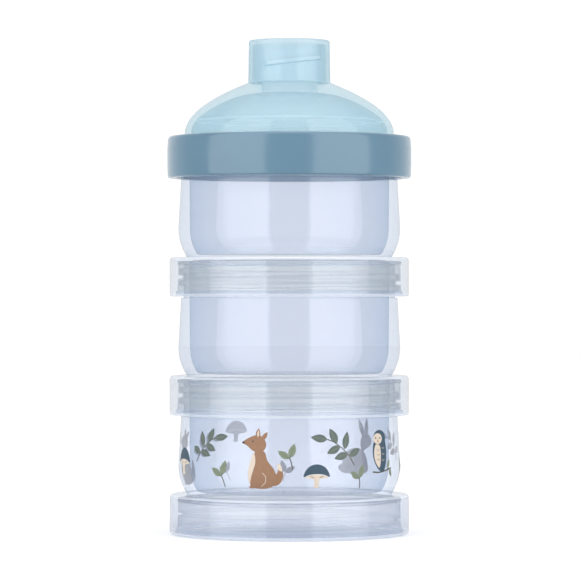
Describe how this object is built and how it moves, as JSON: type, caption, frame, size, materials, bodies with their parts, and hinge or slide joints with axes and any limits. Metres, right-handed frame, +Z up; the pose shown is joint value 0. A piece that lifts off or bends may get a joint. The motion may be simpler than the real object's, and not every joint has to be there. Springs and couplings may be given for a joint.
{
  "type": "formula dispenser",
  "caption": "Clear stacking containers that screw together, under a screw ring with a capped pouring funnel, for carrying measured portions of milk powder.",
  "frame": {"origin": "centre of the stack's foot, on the surface it stands on", "axes": "+Z up along the stack's axis; the front, with the printed motifs and the ends of the threads, faces -Y"},
  "size_m": [0.083, 0.083, 0.1674],
  "materials": {
    "clear_container": "clear, faintly blue, glossy",
    "clear_seal": "translucent silicone, satin",
    "blue_ring": "opaque grey-blue, satin gloss",
    "pale_funnel": "translucent pale blue, glossy",
    "milky_cap": "milky pale blue, glossy",
    "print_ink": "matt printing ink in muted greens, browns and slate"
  },
  "bodies": {
    "base": {"container_bottom": "clear_container", "seal_bottom": "clear_seal"},
    "middle_carrier": {"seal_middle": "clear_seal"},
    "middle": {"container_middle": "clear_container"},
    "top_carrier": {"seal_top": "clear_seal"},
    "top": {"container_top": "clear_container"},
    "funnel": {"pour_funnel": "pale_funnel", "lid_seal": "clear_seal"},
    "ring": {"lid_ring": "blue_ring"},
    "cap_carrier": {"cap_liner": "clear_seal"},
    "cap": {"spout_cap": "milky_cap"}
  },
  "joints": [
    {"name": "middle_lift", "type": "slide", "parent": "base", "child": "middle_carrier", "axis": [0, 0, 1], "range_m": [0, 0.0112]},
    {"name": "middle_unscrew", "type": "hinge", "parent": "middle_carrier", "child": "middle", "pos_m": [0, 0, 0.046], "axis": [0, 0, 1], "range_deg": [0, 990]},
    {"name": "top_lift", "type": "slide", "parent": "middle", "child": "top_carrier", "axis": [0, 0, 1], "range_m": [0, 0.0112]},
    {"name": "top_unscrew", "type": "hinge", "parent": "top_carrier", "child": "top", "pos_m": [0, 0, 0.0862], "axis": [0, 0, 1], "range_deg": [0, 990]},
    {"name": "lid_lift", "type": "slide", "parent": "top", "child": "funnel", "axis": [0, 0, 1], "range_m": [0, 0.0112]},
    {"name": "lid_unscrew", "type": "hinge", "parent": "funnel", "child": "ring", "pos_m": [0, 0, 0.127], "axis": [0, 0, 1], "range_deg": [0, 990]},
    {"name": "cap_lift", "type": "slide", "parent": "funnel", "child": "cap_carrier", "axis": [0, 0, 1], "range_m": [0, 0.0123]},
    {"name": "cap_unscrew", "type": "hinge", "parent": "cap_carrier", "child": "cap", "pos_m": [0, 0, 0.16], "axis": [0, 0, 1], "range_deg": [0, 436]}
  ],
  "couplings": [
    {"joint": "middle_lift", "follows": "middle_unscrew", "m_per_rad": 0.00063662},
    {"joint": "top_lift", "follows": "top_unscrew", "m_per_rad": 0.00063662},
    {"joint": "lid_lift", "follows": "lid_unscrew", "m_per_rad": 0.00063662},
    {"joint": "cap_lift", "follows": "cap_unscrew", "m_per_rad": 0.0015915}
  ]
}
